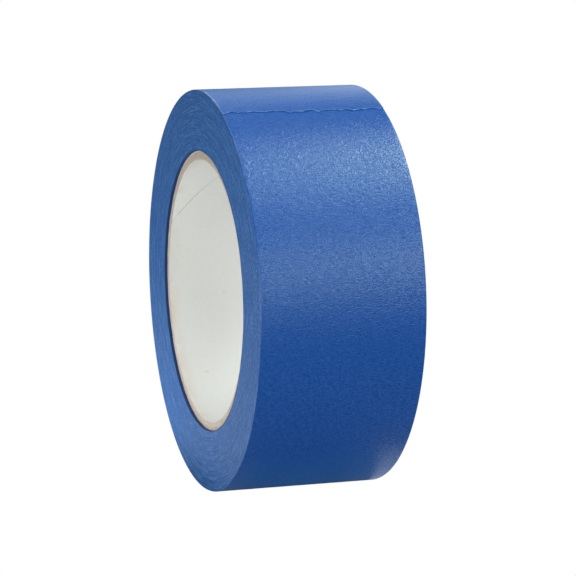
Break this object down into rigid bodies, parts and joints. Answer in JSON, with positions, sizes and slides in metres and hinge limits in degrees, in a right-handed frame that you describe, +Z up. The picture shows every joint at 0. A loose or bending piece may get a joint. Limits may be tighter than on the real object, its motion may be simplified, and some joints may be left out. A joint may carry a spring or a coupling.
{
  "type": "masking tape roll",
  "caption": "Full roll of blue crepe-paper painter's masking tape on a spirally wound paperboard core, its cut end laid down and free to peel.",
  "frame": {"origin": "centre of the roll, on its axis and midway between its two side faces", "axes": "+Y runs along the roll's axis, away from the side face seen in the picture; +Z is up as the roll stands on its tread, and the tape's cut end lies on the upper +X side"},
  "size_m": [0.1165, 0.048, 0.1166],
  "materials": {
    "crepe_tape": "satin",
    "liner_paper": "matte",
    "core_board": "matte",
    "outer_paper": "matte"
  },
  "bodies": {
    "roll": {"core_liner_ply": "liner_paper", "core_board_ply_1": "core_board", "core_board_ply_2": "core_board", "core_board_ply_3": "core_board", "core_outer_ply": "outer_paper", "tape_wound_pack": "crepe_tape"},
    "tail_01": {"tape_tail_01": "crepe_tape"},
    "tail_02": {"tape_tail_02": "crepe_tape"},
    "tail_03": {"tape_tail_03": "crepe_tape"},
    "tail_04": {"tape_tail_04": "crepe_tape"},
    "tail_05": {"tape_tail_05": "crepe_tape"},
    "tail_06": {"tape_tail_06": "crepe_tape"},
    "tail_07": {"tape_tail_07": "crepe_tape"},
    "tail_08": {"tape_tail_08": "crepe_tape"},
    "tail_09": {"tape_tail_09": "crepe_tape"},
    "tail_10": {"tape_tail_10": "crepe_tape"},
    "tail_11": {"tape_tail_11": "crepe_tape"},
    "tail_12": {"tape_tail_12": "crepe_tape"}
  },
  "joints": [
    {"name": "tail_peel", "type": "hinge", "parent": "roll", "child": "tail_01", "pos_m": [-0.0355, 0, 0.04627], "axis": [0, -1, 0], "range_deg": [0, 12.5]},
    {"name": "tail_bend_02", "type": "hinge", "parent": "tail_01", "child": "tail_02", "pos_m": [-0.03134, 0, 0.04919], "axis": [0, -1, 0], "range_deg": [0, 12.5]},
    {"name": "tail_bend_03", "type": "hinge", "parent": "tail_02", "child": "tail_03", "pos_m": [-0.02693, 0, 0.05173], "axis": [0, -1, 0], "range_deg": [0, 12.5]},
    {"name": "tail_bend_04", "type": "hinge", "parent": "tail_03", "child": "tail_04", "pos_m": [-0.02232, 0, 0.05389], "axis": [0, -1, 0], "range_deg": [0, 12.5]},
    {"name": "tail_bend_05", "type": "hinge", "parent": "tail_04", "child": "tail_05", "pos_m": [-0.01754, 0, 0.05563], "axis": [0, -1, 0], "range_deg": [0, 12.5]},
    {"name": "tail_bend_06", "type": "hinge", "parent": "tail_05", "child": "tail_06", "pos_m": [-0.01262, 0, 0.05695], "axis": [0, -1, 0], "range_deg": [0, 12.5]},
    {"name": "tail_bend_07", "type": "hinge", "parent": "tail_06", "child": "tail_07", "pos_m": [-0.00761, 0, 0.05783], "axis": [0, -1, 0], "range_deg": [0, 12.5]},
    {"name": "tail_bend_08", "type": "hinge", "parent": "tail_07", "child": "tail_08", "pos_m": [-0.00254, 0, 0.05828], "axis": [0, -1, 0], "range_deg": [0, 12.5]},
    {"name": "tail_bend_09", "type": "hinge", "parent": "tail_08", "child": "tail_09", "pos_m": [0.00254, 0, 0.05828], "axis": [0, -1, 0], "range_deg": [0, 12.5]},
    {"name": "tail_bend_10", "type": "hinge", "parent": "tail_09", "child": "tail_10", "pos_m": [0.00761, 0, 0.05784], "axis": [0, -1, 0], "range_deg": [0, 12.5]},
    {"name": "tail_bend_11", "type": "hinge", "parent": "tail_10", "child": "tail_11", "pos_m": [0.01263, 0, 0.05696], "axis": [0, -1, 0], "range_deg": [0, 12.5]},
    {"name": "tail_bend_12", "type": "hinge", "parent": "tail_11", "child": "tail_12", "pos_m": [0.01754, 0, 0.05564], "axis": [0, -1, 0], "range_deg": [0, 12.5]}
  ],
  "couplings": [
    {"joint": "tail_bend_02", "follows": "tail_peel", "ratio": 1},
    {"joint": "tail_bend_03", "follows": "tail_peel", "ratio": 1},
    {"joint": "tail_bend_04", "follows": "tail_peel", "ratio": 1},
    {"joint": "tail_bend_05", "follows": "tail_peel", "ratio": 1},
    {"joint": "tail_bend_06", "follows": "tail_peel", "ratio": 1},
    {"joint": "tail_bend_07", "follows": "tail_peel", "ratio": 1},
    {"joint": "tail_bend_08", "follows": "tail_peel", "ratio": 1},
    {"joint": "tail_bend_09", "follows": "tail_peel", "ratio": 1},
    {"joint": "tail_bend_10", "follows": "tail_peel", "ratio": 1},
    {"joint": "tail_bend_11", "follows": "tail_peel", "ratio": 1},
    {"joint": "tail_bend_12", "follows": "tail_peel", "ratio": 1}
  ]
}
